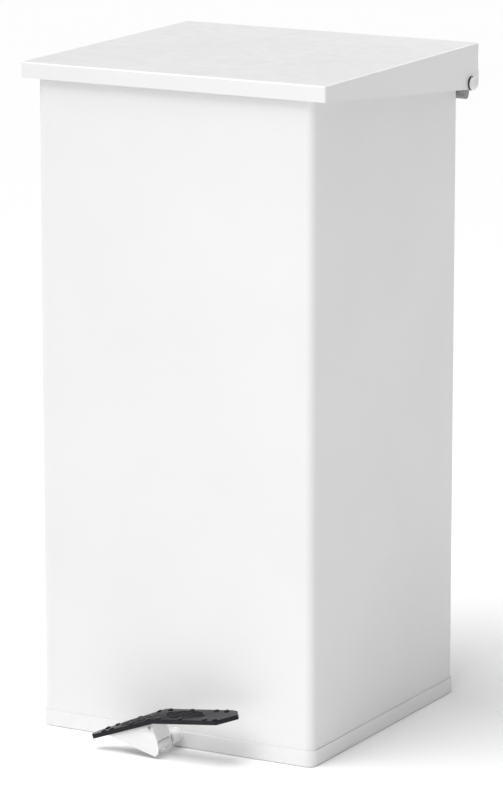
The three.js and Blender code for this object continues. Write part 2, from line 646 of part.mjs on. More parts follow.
/** The bucket's four walls, wrapped from one sheet, with a flange round the mouth. */
function bucketWall() {
  const { topX, topY, lowX, lowY, low, top, wall } = BUCKET;
  const mouthX = topX + BUCKET_RIM;
  const mouthY = topY + BUCKET_RIM;
  const flange = flared(mouthX, mouthY, mouthX, mouthY, BUCKET_CORNER + BUCKET_RIM, top - 4, top);
  const hollow = flared(lowX - wall, lowY - wall, topX - wall, topY - wall, BUCKET_CORNER, low, top);
  return flared(lowX, lowY, topX, topY, BUCKET_CORNER, low, top).add(flange).subtract(hollow);
}

/** A shallow tray pressed into the foot of the walls. */
function bucketFloor() {
  const { topX, topY, lowX, lowY, low, top, wall } = BUCKET;
  const fitted = (margin, from) =>
    flared(lowX - margin, lowY - margin, topX - margin, topY - margin, BUCKET_CORNER, low, top)
      .intersect(block(-FAR, FAR, -FAR, FAR, from, low + BUCKET_TRAY));
  return fitted(wall + GAP, low).subtract(fitted(2 * wall + GAP, low + wall));
}

/** A wire loop that hangs from its upper bar. */
function handleLoop() {
  const { half, drop, r } = HANDLE;
  const sides = 10;
  let loop = bar('y', r, -half, half, [0, 0], sides).add(bar('y', r, -half, half, [0, -drop], sides));
  for (const end of [-half, half]) {
    loop = loop.add(bar('z', r, -drop, 0, [0, end], sides));
    for (const z of [0, -drop]) {
      loop = loop.add(solid(new THREE.SphereGeometry(r, sides, 6).translate(0, end, z)));
    }
  }
  return loop;
}

/** The clip on the bucket's wall that the loop's upper bar turns in. */
function handleClip() {
  const { inner, outer, halfY, halfZ } = CLIP;
  return block(-inner, outer, -halfY, halfY, -halfZ, halfZ)
    .subtract(bar('y', HANDLE.r + GAP, -FAR, FAR, [0, 0], 20));
}

function addBucket(bin) {
  add(bin, 'bucket_wall', bucketWall(), GALVANISED);
  add(bin, 'bucket_floor', bucketFloor(), GALVANISED);
  for (const [name, side] of SIDES) {
    const place = [side * HANDLE.x, BUCKET.y, HANDLE.z];
    const turn = [0, 0, side > 0 ? 0 : 180];
    add(bin, `handle_clip_${name}`, handleClip(), GALVANISED, place, turn);
    add(bin, `bucket_handle_${name}`, handleLoop(), STEEL, place, turn);
  }
}

// ---- the whole bin, about the middle of the floor under it --------------------------------------

const bin = new THREE.Group();
addCabinet(bin);
addLid(bin);
addLiftRod(bin);
addPedal(bin);
addBucket(bin);
bin.position.y = -(LID.rear + PEDAL_Y - PAD_DEPTH / 2) / 2;

export default bin;
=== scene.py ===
"""A large white pedal bin of folded sheet steel, round its CAD frame. Metres, +Z up, front at -Y."""

import json
import math

import bmesh
import bpy
from mathutils import Matrix, Vector


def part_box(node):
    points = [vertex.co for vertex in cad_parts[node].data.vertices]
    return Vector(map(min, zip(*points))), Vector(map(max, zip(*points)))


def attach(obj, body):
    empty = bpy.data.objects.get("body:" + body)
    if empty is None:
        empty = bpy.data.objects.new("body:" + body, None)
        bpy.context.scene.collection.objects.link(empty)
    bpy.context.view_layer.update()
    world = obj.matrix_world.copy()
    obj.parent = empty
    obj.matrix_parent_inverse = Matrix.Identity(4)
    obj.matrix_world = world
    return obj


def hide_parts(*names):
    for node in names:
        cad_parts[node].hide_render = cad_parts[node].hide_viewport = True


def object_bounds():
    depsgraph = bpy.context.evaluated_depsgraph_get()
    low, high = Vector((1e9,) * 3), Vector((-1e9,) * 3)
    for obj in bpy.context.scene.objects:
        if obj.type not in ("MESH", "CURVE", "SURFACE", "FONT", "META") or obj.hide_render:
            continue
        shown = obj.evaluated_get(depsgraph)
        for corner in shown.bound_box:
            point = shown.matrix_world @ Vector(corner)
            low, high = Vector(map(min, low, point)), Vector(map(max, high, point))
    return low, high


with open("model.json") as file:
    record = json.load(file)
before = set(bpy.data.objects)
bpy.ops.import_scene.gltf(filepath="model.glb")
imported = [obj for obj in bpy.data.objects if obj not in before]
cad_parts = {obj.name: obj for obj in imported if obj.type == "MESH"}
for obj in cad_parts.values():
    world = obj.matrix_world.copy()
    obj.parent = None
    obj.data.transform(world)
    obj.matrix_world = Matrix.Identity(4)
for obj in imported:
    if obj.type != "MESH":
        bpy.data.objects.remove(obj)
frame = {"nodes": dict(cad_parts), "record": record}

CAD_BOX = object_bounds()
RECORD = frame["record"]
BODY_OF = {node: body for body, members in RECORD["behaviour"]["bodies"].items() for node in members}
SLOT_OF = {part["node"]: part["material_slot"] for part in RECORD["subparts"]}
SIDES = ("left", "right")

MM = 0.001
X, Y, Z = Vector((1, 0, 0)), Vector((0, 1, 0)), Vector((0, 0, 1))

# ---- sizes of the detail that the CAD frame leaves plain -----------------------------------------

WELD = 0.01 * MM  # vertices closer than this are one
FLAT = math.radians(0.6)  # faces closer in angle than this are one flat
CREASE = math.radians(32)  # an edge sharper than this is a real edge of the piece
SMOOTH = math.radians(48)  # shading runs smoothly over anything less sharp
ROUND_SIDES = 56

CUT_EDGE = 0.22 * MM  # rounding that the powder coat gives a cut edge
BODY_SHEET, BODY_BEND = 0.8 * MM, 2.2 * MM
LID_SHEET, LID_BEND = 1.0 * MM, 2.6 * MM
STIFFENER_BEND = 1.8 * MM
BRACKET_SHEET, BRACKET_BEND, BRACKET_EDGE = 2.0 * MM, 2.8 * MM, 0.35 * MM
PLATE_ROUND, PIN_ROUND, FORGED_ROUND = 0.3 * MM, 0.4 * MM, 0.45 * MM
TRIM_ROUND = 0.55 * MM
ROD_END_ROUND = 0.7 * MM
MOULDED_ROUND, BLOCK_ROUND, CLIP_ROUND = 0.9 * MM, 3 * MM, 1.2 * MM
BAR_CHAMFER, PIN_CHAMFER, BUFFER_CHAMFER = 0.8 * MM, 0.6 * MM, 1.6 * MM
SPRING_PIN_EDGE, COLLAR_EDGE, COLLAR_CLEAR = 0.3 * MM, 0.6 * MM, 0.3 * MM

SEAM_WIDTH, SEAM_PROUD, SEAM_SUNK = 14 * MM, 0.7 * MM, 0.2 * MM  # lap joint down the rear wall
SPOT_START, SPOT_PITCH, SPOT_R, SPOT_DEEP = 60 * MM, 60 * MM, 2.6 * MM, 0.25 * MM

HEAD_HIGH, HEAD_BRIM = 2.2 * MM, 0.4 * MM  # a screw's domed head, and its upright brim
SHANK_R, SHANK_LEAST = 0.42, 4 * MM  # share of the head's radius; a node shorter than this is all head
SOCKET_FLOOR = 0.45  # share of the head's height
FOOT_DRIVER, BLOCK_DRIVER = 1.5 * MM, 1.3 * MM  # from the middle to a corner of the hexagon
RIVET_BRIM, DIMPLE_R, DIMPLE_FLOOR = 0.25, 0.32, 0.55  # shares of the rivet's height, radius and height
DIMPLE_EDGE = 0.3 * MM
CAP_BRIM, CAP_CHAMFER, CAP_HOLLOW = 1.8 * MM, 0.6 * MM, 0.2 * MM
BUSH_BORE, BUSH_SLEEVE = 3.1 * MM, 6 * MM  # radii: the bolt in it is 6 mm across
BUSH_FLANGE, BUSH_EDGE = 1.5 * MM, 0.35 * MM

BUCKET_SHEET, BUCKET_BEAD_R, BUCKET_CORNER = 0.8 * MM, 2.5 * MM, 24 * MM
BUCKET_TAPER = 18 * MM  # on each side, from the top to the floor
BUCKET_RIM = 5 * MM  # from the wall's outside to the rim's
BUCKET_FLOOR_BEND = 3 * MM
SWAGE_HEIGHTS, SWAGE_HALF = (0.12, 0.5, 0.88), 0.008  # shares of the wall's height
SWAGE_OUT = 1.6 * MM
WIRE_BEND = 11 * MM

PAD_ROUND = 1.5 * MM
PAD_CORNER = 4.5 * MM  # the pad's corners, seen from above
OVAL_PLACE, OVAL_LONG = 0.34, 0.245  # the ribbed oval's middle and half length: shares of its wing's
OVAL_SHORT = 0.31  # its half width: a share of the wing's width there
OVAL_BEAD = 1.0 * MM  # radius of the bead round it
RIB_PITCH, RIB_R = 6.4 * MM, 1.7 * MM
RIB_SLANT = math.radians(40)  # from the pad's length
STUD_R, STUD_HIGH, STUD_INSET = 3.4 * MM, 1.9 * MM, 3.8 * MM
STUD_BRIM, STUD_SUNK = 0.9 * MM, 0.3 * MM
STUD_PLACES = (0.075, 0.355, 0.67, 0.8)  # shares of a wing's length, out from the ridge
TOP_RISE, SIDE_RISE = 0.8, 0.3  # the least rise of a top face's normal, and the most of a side face's

# ---- materials -----------------------------------------------------------------------------------

COLOUR_A, COLOUR_B, COLOUR_MIXED = 6, 7, 2  # the mix node's sockets that carry colours


class Finish:
    """A procedural material, built up node by node round one Principled shader."""

    def __init__(self, name, colour, roughness, metallic=0.0):
        self.material = bpy.data.materials.new(name)
        self.material.use_nodes = True
        self.tree = self.material.node_tree
        self.shader = self.tree.nodes["Principled BSDF"]
        self.shader.inputs["Base Color"].default_value = (*colour, 1)
        self.shader.inputs["Roughness"].default_value = roughness
        self.shader.inputs["Metallic"].default_value = metallic
        self.place = self.add("ShaderNodeTexCoord").outputs["Object"]

    def add(self, kind, **settings):
        node = self.tree.nodes.new(kind)
        for key, value in settings.items():
            setattr(node, key, value)
        return node

    def link(self, output, node, socket):
        self.tree.links.new(output, node.inputs[socket])

    def stretched(self, scale):
        """The place, scaled by a different amount along each axis."""
        mapping = self.add("ShaderNodeMapping")
        mapping.inputs["Scale"].default_value = scale
        self.link(self.place, mapping, "Vector")
        return mapping.outputs["Vector"]

    def noise(self, scale, detail=3, vector=None):
        node = self.add("ShaderNodeTexNoise")
        node.inputs["Scale"].default_value = scale
        node.inputs["Detail"].default_value = detail
        self.link(vector or self.place, node, "Vector")
        return node.outputs["Fac"]

    def cells(self, scale, vector=None):
        """A different grey in each Voronoi cell."""
        node = self.add("ShaderNodeTexVoronoi")
        node.inputs["Scale"].default_value = scale
        self.link(vector or self.place, node, "Vector")
        grey = self.add("ShaderNodeRGBToBW")
        self.link(node.outputs["Color"], grey, "Color")
        return grey.outputs["Val"]

    def height(self):
        """How high the place is, in the row frame."""
        parts = self.add("ShaderNodeSeparateXYZ")
        self.link(self.place, parts, "Vector")
        return parts.outputs["Z"]

    def spread(self, value, low, high, to_low, to_high):
        """The value mapped from one range to another, held at the ends."""
        node = self.add("ShaderNodeMapRange")
        ends = {"From Min": low, "From Max": high, "To Min": to_low, "To Max": to_high}
        for socket, number in ends.items():
            node.inputs[socket].default_value = number
        self.link(value, node, "Value")
        return node.outputs["Result"]

    def times(self, a, b):
        node = self.add("ShaderNodeMath", operation="MULTIPLY")
        self.link(a, node, 0)
        self.link(b, node, 1)
        return node.outputs["Value"]

    def blend(self, factor, first, second):
        """A colour between two, each a plain colour or an output."""
        node = self.add("ShaderNodeMix", data_type="RGBA")
        self.link(factor, node, "Factor")
        for socket, colour in ((COLOUR_A, first), (COLOUR_B, second)):
            if isinstance(colour, tuple):
                node.inputs[socket].default_value = (*colour, 1)
            else:
                self.tree.links.new(colour, node.inputs[socket])
        return node.outputs[COLOUR_MIXED]

    def colour(self, output):
        self.link(output, self.shader, "Base Color")

    def roughness(self, output):
        self.link(output, self.shader, "Roughness")

    def bumps(self, *layers):
        """Height layers of (output, distance, strength), finest last, one on the other."""
        normal = None
        for height, distance, strength in layers:
            node = self.add("ShaderNodeBump")
            node.inputs["Distance"].default_value = distance
            node.inputs["Strength"].default_value = strength
            self.link(height, node, "Height")
            if normal:
                self.link(normal, node, "Normal")
            normal = node.outputs["Normal"]
        self.link(normal, self.shader, "Normal")


def white_paint():
    """Satin powder coat: orange peel over sheet that isn't quite flat, and faint brownish patches that
    darken it towards the foot.
    """
    finish = Finish("white_paint", (0.86, 0.86, 0.855), 0.4)
    cloud = finish.spread(finish.noise(5, 2), 0.35, 0.65, 0, 1)
    paint = finish.blend(cloud, (0.85, 0.851, 0.849), (0.872, 0.872, 0.869))
    # brownish patches mixed in, fading out over the lowest 30 mm: darker towards the bottom
    low = finish.spread(finish.height(), 0.002, 0.03, 1, 0)
    foot_darkening = finish.times(low, finish.spread(finish.noise(38, 5), 0.48, 0.75, 0, 0.12))
    finish.colour(finish.blend(foot_darkening, paint, (0.58, 0.56, 0.52)))
    finish.roughness(finish.spread(finish.noise(60, 4), 0.3, 0.7, 0.3, 0.4))
    finish.bumps(
        (finish.noise(3.2, 1), 0.5 * MM, 0.25),
        (finish.noise(420, 1), 0.03 * MM, 0.35),
        (finish.noise(1500, 2), 0.01 * MM, 0.3),
    )
    return finish.material


def galvanised():
    """Hot-dipped zinc: spangle cells that differ in grey and gloss, under faint rolling marks."""
    finish = Finish("galvanised", (0.62, 0.64, 0.65), 0.48, 0.7)
    spangle = finish.cells(85)
    streak = finish.noise(1, 3, finish.stretched((14, 14, 420)))
    shade = finish.spread(spangle, 0.2, 0.8, 0, 1)
    tone = finish.blend(shade, (0.57, 0.585, 0.595), (0.68, 0.695, 0.705))
    dull = finish.spread(finish.noise(22, 5), 0.45, 0.75, 0, 0.25)
    finish.colour(finish.blend(dull, tone, (0.5, 0.51, 0.51)))
    finish.roughness(finish.spread(spangle, 0.2, 0.8, 0.4, 0.56))
    finish.bumps(
        (spangle, 0.05 * MM, 0.3),
        (streak, 0.03 * MM, 0.25),
        (finish.noise(900, 2), 0.01 * MM, 0.3),
    )
    return finish.material


def steel():
    """Bright zinc plate on turned and drawn steel, rubbed in places."""
    finish = Finish("steel", (0.6, 0.61, 0.62), 0.3, 1)
    rubbed = finish.spread(finish.noise(160, 5), 0.4, 0.68, 0, 1)
    finish.colour(finish.blend(rubbed, (0.63, 0.635, 0.64), (0.47, 0.475, 0.48)))
    finish.roughness(finish.spread(finish.noise(240, 4), 0.3, 0.7, 0.22, 0.4))
    finish.bumps((finish.noise(1, 2, finish.stretched((900, 140, 900))), 0.02 * MM, 0.3))
    return finish.material


def rubber():
    """Black moulded rubber, smooth enough to shine at a grazing angle, with faint scuffs from shoes."""
    finish = Finish("rubber", (0.012, 0.0125, 0.0155), 0.32)
    finish.shader.inputs["Specular IOR Level"].default_value = 0.2
    scuff = finish.spread(finish.noise(190, 5), 0.55, 0.8, 0, 0.4)
    dust = finish.spread(finish.noise(24, 4), 0.35, 0.7, 0, 1)
    base = finish.blend(dust, (0.009, 0.0095, 0.012), (0.016, 0.0165, 0.02))
    finish.colour(finish.blend(scuff, base, (0.035, 0.036, 0.041)))
    finish.roughness(finish.spread(finish.noise(260, 4), 0.3, 0.7, 0.16, 0.28))
    finish.bumps((finish.noise(700, 3), 0.02 * MM, 0.35), (finish.noise(2600, 2), 0.006 * MM, 0.3))
    return finish.material


def moulded(name, dark, light, smoothest, roughest, grain):
    """Moulded plastic with a spark-eroded grain and a cloudy flow of colour."""
    finish = Finish(name, light, roughest)
    flow = finish.spread(finish.noise(70, 4, finish.stretched((1, 1, 0.4))), 0.3, 0.7, 0, 1)
    finish.colour(finish.blend(flow, dark, light))
    finish.roughness(finish.spread(finish.noise(500, 3), 0.3, 0.7, smoothest, roughest))
    finish.bumps((finish.noise(1300, 2), grain, 0.5))
    return finish.material


def grey_plastic():
    return moulded("grey_plastic", (0.27, 0.272, 0.276), (0.34, 0.342, 0.346), 0.45, 0.62, 0.03 * MM)


def dark_plastic():
    return moulded("dark_plastic", (0.03, 0.031, 0.033), (0.052, 0.053, 0.056), 0.42, 0.6, 0.03 * MM)


def white_plastic():
    return moulded("white_plastic", (0.82, 0.82, 0.81), (0.86, 0.86, 0.85), 0.14, 0.24, 0.006 * MM)


MATERIALS = {
    "white_paint": white_paint(),
    "galvanised": galvanised(),
    "steel": steel(),
    "rubber": rubber(),
    "grey_plastic": grey_plastic(),
    "dark_plastic": dark_plastic(),
    "white_plastic": white_plastic(),
}

# ---- mesh helpers --------------------------------------------------------------------------------


def made(shape, name, node, stands=True, flatness=50):
    """Turns a bmesh into a piece on a CAD node's body and slot. It stands for the node or adds to it.
    The flatness is how far a large face's normal wins over its small neighbours', from 50 to 100."""
    bmesh.ops.recalc_face_normals(shape, faces=shape.faces)
    mesh = bpy.data.meshes.new(name)
    shape.to_mesh(mesh)
    shape.free()
    mesh.materials.append(MATERIALS[SLOT_OF[node]])
    mesh.shade_smooth()
    mesh.set_sharp_from_angle(angle=SMOOTH)
    piece = bpy.data.objects.new(name, mesh)
    bpy.context.scene.collection.objects.link(piece)
    weighted = piece.modifiers.new("weighted_normals", "WEIGHTED_NORMAL")
    weighted.keep_sharp = True
    weighted.weight = flatness
    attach(piece, BODY_OF[node])
    if stands:
        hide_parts(node)
    return piece


def welded(node):
    """A CAD node as a bmesh, with one face for each flat."""
    shape = bmesh.new()
    shape.from_mesh(frame["nodes"][node].data)
    bmesh.ops.remove_doubles(shape, verts=shape.verts, dist=WELD)
    bmesh.ops.dissolve_limit(shape, angle_limit=FLAT, verts=shape.verts, edges=shape.edges)
    return shape


def rounded(shape, edges, radius, segments):
    """Rounds edges of a shape, by less where they are short of room."""
    if edges:
        settings = {"segments": segments, "profile": 0.5, "affect": "EDGES", "clamp_overlap": True}
        bmesh.ops.bevel(shape, geom=edges, offset=radius, **settings)


def creases(shape, convex=True):
    """The sharp edges that stand out of a shape, or that run inwards."""
    return [
        edge
        for edge in shape.edges
        if len(edge.link_faces) == 2 and edge.is_convex == convex and edge.calc_face_angle() > CREASE
    ]


def folds(shape, sheet, convex):
    """The edges where a sheet is folded, and not those along its own thickness."""
    narrow = 1.6 * sheet

    def broad(face):
        return 2 * face.calc_area() / face.calc_perimeter() > narrow

    return [edge for edge in creases(shape, convex) if all(broad(face) for face in edge.link_faces)]


def folded(node, sheet, bend, edge=CUT_EDGE, shape=None):
    """A CAD sheet with real bend radii outside and in, and rounded cut edges."""
    shape = shape or welded(node)
    rounded(shape, folds(shape, sheet, True), bend, 4)
    rounded(shape, folds(shape, sheet, False), bend - sheet, 3)
    rounded(shape, creases(shape), edge, 2)
    return made(shape, f"{node}_folded", node, flatness=100)


def softened(node, radius, segments=2):
    """A CAD solid with every sharp edge rounded."""
    shape = welded(node)
    rounded(shape, creases(shape), radius, segments)
    return made(shape, f"{node}_rounded", node, flatness=100)


def filleted(points, radius, steps=4):
    """A path with a curve in place of each of its inner corners."""
    points = [Vector(point) for point in points]
    path = [points[0]]
    for before, corner, after in zip(points, points[1:], points[2:]):
        reach = min(radius, (before - corner).length * 0.48, (after - corner).length * 0.48)
        start = corner + (before - corner).normalized() * reach
        end = corner + (after - corner).normalized() * reach
        for step in range(steps + 1):
            t = step / steps
            path.append(start * (1 - t) ** 2 + corner * (2 * t * (1 - t)) + end * t ** 2)
    return path + [points[-1]]


def skinned(shape, rings, closed=False):
    """Joins rings of vertices, each a list of the same length or a single vertex, in order."""
    pairs = list(zip(rings, rings[1:])) + ([(rings[-1], rings[0])] if closed else [])
    for low, high in pairs:
        count = max(len(low), len(high))
        for i in range(count):
            j = (i + 1) % count
            corners = [low[i % len(low)], low[j % len(low)], high[j % len(high)], high[i % len(high)]]
            distinct = list(dict.fromkeys(corners))
            if len(distinct) > 2:
                shape.faces.new(distinct)


def turned(shape, profile, place, closed=False, sides=ROUND_SIDES):
    """Adds a body of revolution from (radius, height) points about the place's own Z."""
    rings = []
    for radius, height in profile:
        count = sides if radius > 1e-7 else 1
        turn = [2 * math.pi * i / count for i in range(count)]
        points = [Vector((radius * math.cos(a), radius * math.sin(a), height)) for a in turn]
        rings.append([shape.verts.new(place @ point) for point in points])
    skinned(shape, rings, closed)


def facing(direction, centre):
    """A place at centre whose Z points along a direction."""
    return Matrix.Translation(centre) @ direction.to_track_quat("Z", "Y").to_matrix().to_4x4()


def tube(shape, path, radii, sides=16, closed=False):
    """Adds a round bar along a path. Its radius is one number, or one for each point."""
    radii = radii if isinstance(radii, list) else [radii] * len(path)
    count = len(path)
    rings = []
    across = None
    for i, centre in enumerate(path):
        ahead = path[(i + 1) % count] if closed or i + 1 < count else centre
        behind = path[i - 1] if closed or i else centre
        along = (ahead - behind).normalized()
        across = across or along.orthogonal()
        across = (across - along * across.dot(along)).normalized()
        other = along.cross(across)
        turn = [2 * math.pi * k / sides for k in range(sides)]
        points = [centre + (across * math.cos(a) + other * math.sin(a)) * radii[i] for a in turn]
        rings.append([shape.verts.new(point) for point in points])
    skinned(shape, rings, closed)
    if not closed:
        shape.faces.new(rings[0])
        shape.faces.new(rings[-1])


def cuboid(shape, low, high):
    """Adds a box between two corners."""
    size = high - low
    matrix = Matrix.Translation((low + high) / 2) @ Matrix.Diagonal((*size, 1))
    bmesh.ops.create_cube(shape, size=1, matrix=matrix)


def cut(shape, cutter):
    """The first shape with the second taken away."""
    objects = []
    for part in (shape, cutter):
        mesh = bpy.data.meshes.new("cutting")
        bmesh.ops.recalc_face_normals(part, faces=part.faces)
        part.to_mesh(mesh)
        part.free()
        objects.append(bpy.data.objects.new("cutting", mesh))
        bpy.context.scene.collection.objects.link(objects[-1])
    modifier = objects[0].modifiers.new("cut", "BOOLEAN")
    modifier.operation = "DIFFERENCE"
    modifier.object = objects[1]
    graph = bpy.context.evaluated_depsgraph_get()
    result = bmesh.new()
    result.from_mesh(objects[0].evaluated_get(graph).to_mesh())
    for temporary in objects:
        bpy.data.objects.remove(temporary)
    return result


# ---- round pieces, sized from their CAD nodes ----------------------------------------------------

AXES = {"x": X, "y": Y, "z": Z}


def round_size(node, axis):
    """A round node's middle, radius and length along an axis."""
    low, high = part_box(node)
    size = high - low
    along = "xyz".index(axis)
    others = [size[i] for i in range(3) if i != along]
    return (low + high) / 2, max(others) / 2, size[along]


def bar(node, axis, chamfer):
    """A plain round bar with chamfered ends."""
    centre, radius, length = round_size(node, axis)
    half = length / 2
    profile = [(0, -half), (radius - chamfer, -half), (radius, chamfer - half)]
    profile += [(radius, half - chamfer), (radius - chamfer, half), (0, half)]
    shape = bmesh.new()
    turned(shape, profile, facing(AXES[axis], centre))
    return made(shape, f"{node}_turned", node)


def ring_profile(bore, radius, half, edge):
    """The closed section of a ring with rounded outer and inner corners."""
    outer = filleted([(bore, -half), (radius, -half), (radius, half), (bore, half)], edge)
    inner = filleted([(radius, half), (bore, half), (bore, -half), (radius, -half)], edge)
    return [tuple(point) for point in outer[1:-1] + inner[1:-1]]


def ring(node, axis, bore, edge):
    """A plain ring with a bore."""
    centre, radius, length = round_size(node, axis)
    shape = bmesh.new()
    turned(shape, ring_profile(bore, radius, length / 2, edge), facing(AXES[axis], centre), closed=True)
    return made(shape, f"{node}_turned", node)


def dome_profile(radius, high, brim, steps=9):
    """From the edge of a head's flat underside up over its dome to the middle."""
    profile = [(radius, 0), (radius, brim)]
    for step in range(1, steps + 1):
        angle = math.radians(90 * step / steps)
        profile.append((radius * math.cos(angle), brim + (high - brim) * math.sin(angle)))
    profile[-1] = (0, high)
    return profile


def socket_head(node, axis, driver):
    """A domed screw head with a hexagon socket. It faces along the axis."""
    centre, radius, length = round_size(node, axis)
    has_shank = length > SHANK_LEAST
    high = HEAD_HIGH if has_shank else length
    shank = SHANK_R * radius
    below = [(0, high - length), (shank, high - length), (shank, 0)] if has_shank else [(0, 0)]
    place = facing(AXES[axis], centre + AXES[axis] * (length / 2 - high))
    shape = bmesh.new()
    turned(shape, below + dome_profile(radius, high, HEAD_BRIM), place)
    floor = SOCKET_FLOOR * high
    socket = bmesh.new()
    turned(socket, [(0, floor), (driver, floor), (driver, 2 * high), (0, 2 * high)], place, sides=6)
    return made(cut(shape, socket), f"{node}_head", node)


def rivet(node, axis):
    """A pop rivet's domed head with the dimple that its mandrel leaves. It faces along the axis."""
    centre, radius, high = round_size(node, axis)
    dimple = DIMPLE_R * radius
    floor = DIMPLE_FLOOR * high
    outside = [point for point in dome_profile(radius, high, RIVET_BRIM * high) if point[0] > dimple]
    inside = [(dimple, floor + DIMPLE_EDGE), (0.8 * dimple, floor), (0, floor)]
    shape = bmesh.new()
    turned(shape, [(0, 0)] + outside + inside, facing(AXES[axis], centre - AXES[axis] * high / 2))
    return made(shape, f"{node}_head", node)


def outward(node, side):
    """A side node's place, at its inner end and facing away from the bin, with its radius and length."""
    centre, radius, length = round_size(node, "x")
    return facing(X * side, centre - X * side * length / 2), radius, length


# ---- cabinet -------------------------------------------------------------------------------------


def rear_seam():
    """The lap joint down the middle of the rear wall, with its row of spot welds."""
    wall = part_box("body_shell")[1]
    low = Vector((-SEAM_WIDTH / 2, wall.y - SEAM_SUNK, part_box("base_trim")[1].z))
    high = Vector((SEAM_WIDTH / 2, wall.y + SEAM_PROUD, wall.z - BODY_BEND))
    seam = bmesh.new()
    cuboid(seam, low, high)
    clear = 4 * SPOT_DEEP  # past the seam's face
    dish = [(0, 0), (0.75 * SPOT_R, 0), (SPOT_R, SPOT_DEEP), (SPOT_R, clear), (0, clear)]
    spots = bmesh.new()
    for i in range(int((high.z - SPOT_START) / SPOT_PITCH)):
        centre = Vector((0, high.y - SPOT_DEEP, SPOT_START + i * SPOT_PITCH))
        turned(spots, dish, facing(Y, centre), sides=24)
    shape = cut(seam, spots)
    rounded(shape, [edge for edge in creases(shape) if edge.calc_length() > SEAM_WIDTH / 2], CUT_EDGE, 2)
    return made(shape, "body_seam", "body_shell", stands=False)


def foot(node):
    """A moulded levelling foot: a sole, grooved round its side and hollow below, under a narrow neck."""
    centre, radius, length = round_size(node, "z")
    hollow, groove = 0.8 * MM, 0.8 * MM
    groove_low, groove_high, shoulder = 4.2 * MM, 5.4 * MM, 8 * MM
    step = 2 * MM
    neck = radius - step
    outline = [
        (0, hollow), (0.55 * radius, hollow), (0.6 * radius, 0), (neck, 0), (radius, step),
        (radius, groove_low), (radius - groove, (groove_low + groove_high) / 2), (radius, groove_high),
        (radius, shoulder), (neck, shoulder + step), (neck, length), (0, length),
    ]
    shape = bmesh.new()
    turned(shape, outline, facing(Z, Vector((centre.x, centre.y, 0))))
    return made(shape, f"{node}_moulded", node)


def front_bearing():
    """The flanged bush that the pedal shaft comes out of."""
    centre, radius, length = round_size("front_bearing", "y")
    play, gap = 0.1 * MM, 0.3 * MM  # round the shaft, and between the flange and the base trim
    step, flange = 2 * MM, 3 * MM
    edge, flange_edge = 0.8 * MM, 0.5 * MM
    bore = round_size("pedal_shaft", "y")[1] + play
    neck = radius - step
    front = centre - Y * length / 2
    flange_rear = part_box("base_trim")[0].y - gap - front.y
    flange_front = flange_rear - flange
    profile = [
        (bore + edge, 0), (neck - edge, 0), (neck, edge), (neck, flange_front),
        (radius - flange_edge, flange_front), (radius, flange_front + flange_edge), (radius, flange_rear),
        (neck, flange_rear), (neck, length), (bore, length), (bore, edge),
    ]
    shape = bmesh.new()
    turned(shape, profile, facing(Y, front), closed=True)
    return made(shape, "front_bearing_moulded", "front_bearing")


def cap_nut(name, side):
    """A glossy domed cap over the end of the hinge bolt."""
    place, radius, length = outward(f"cap_nut_{name}", side)
    below = [(0, CAP_HOLLOW), (radius - CAP_CHAMFER, 0)]
    shape = bmesh.new()
    turned(shape, below + dome_profile(radius, length, CAP_BRIM, steps=14)[1:], place)
    return made(shape, f"cap_nut_{name}_moulded", f"cap_nut_{name}")


def hinge_block(name):
    """The moulded block behind the cabinet's rear wall, well rounded along its lower edges."""
    node = f"hinge_block_{name}"
    shape = welded(node)
    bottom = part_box(node)[0].z

    def runs_across_the_bottom(edge):
        start, end = (vertex.co for vertex in edge.verts)
        return max(start.z, end.z) < bottom + WELD and abs(start.y - end.y) < WELD

    rounded(shape, [edge for edge in creases(shape) if runs_across_the_bottom(edge)], BLOCK_ROUND, 4)
    rounded(shape, creases(shape), MOULDED_ROUND, 3)
    return made(shape, f"{node}_rounded", node, flatness=100)


def add_cabinet():
    folded("body_shell", BODY_SHEET, BODY_BEND)
    rear_seam()
    softened("base_trim", TRIM_ROUND, 3)
    folded("floor_panel", BODY_SHEET, BODY_BEND)
    front_bearing()
    softened("rear_bearing", MOULDED_ROUND)
    for level in ("lower", "upper"):
        softened(f"rod_guide_{level}", PIN_ROUND)
        for name in SIDES:
            rivet(f"guide_rivet_{level}_{name}", "y")
    for name, side in zip(SIDES, (-1, 1)):
        for end in ("front", "rear"):
            foot(f"foot_{end}_{name}")
            socket_head(f"foot_screw_{end}_{name}", "z", FOOT_DRIVER)
        bar(f"lid_buffer_{name}", "z", BUFFER_CHAMFER)
        hinge_block(name)
        softened(f"hinge_bolt_{name}", PIN_ROUND)
        cap_nut(name, side)
        for level in ("upper", "lower"):
            socket_head(f"block_screw_{level}_{name}", "y", BLOCK_DRIVER)


# ---- lid and linkage -----------------------------------------------------------------------------


def lid_bush(name, side):
    """The dark flanged bush between an ear and its bolt. Its dark flange beside the cap nut is partly
    painted shadow: it stands for the shade in the gap between the lid and the cap.
    """
    place, radius, length = outward(f"lid_bush_{name}", side)
    # the dark flange also serves as painted shadow for the gap under the cap nut
    flange = length - BUSH_FLANGE
    rim = radius - BUSH_EDGE
    profile = [
        (BUSH_BORE, 0), (BUSH_SLEEVE, 0), (BUSH_SLEEVE, flange), (rim, flange),
        (radius, flange + BUSH_EDGE), (radius, length - BUSH_EDGE), (rim, length), (BUSH_BORE, length),
    ]
    shape = bmesh.new()
    turned(shape, profile, place, closed=True)
    return made(shape, f"lid_bush_{name}_moulded", f"lid_bush_{name}")


def lid_panel():
    """The folded lid. Its rear corners are bent down to the rear skirt's edge, and no bend runs below."""
    shape = welded("lid_panel")
    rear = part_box("lid_panel")[1].y
    levels = sorted({round(vertex.co.z, 5) for vertex in shape.verts if vertex.co.y > rear - WELD})
    everything = [*shape.verts, *shape.edges, *shape.faces]
    skirt_edge = levels[1]
    bmesh.ops.bisect_plane(shape, geom=everything, plane_co=Z * skirt_edge, plane_no=Z)
    return folded("lid_panel", LID_SHEET, LID_BEND, shape=shape)


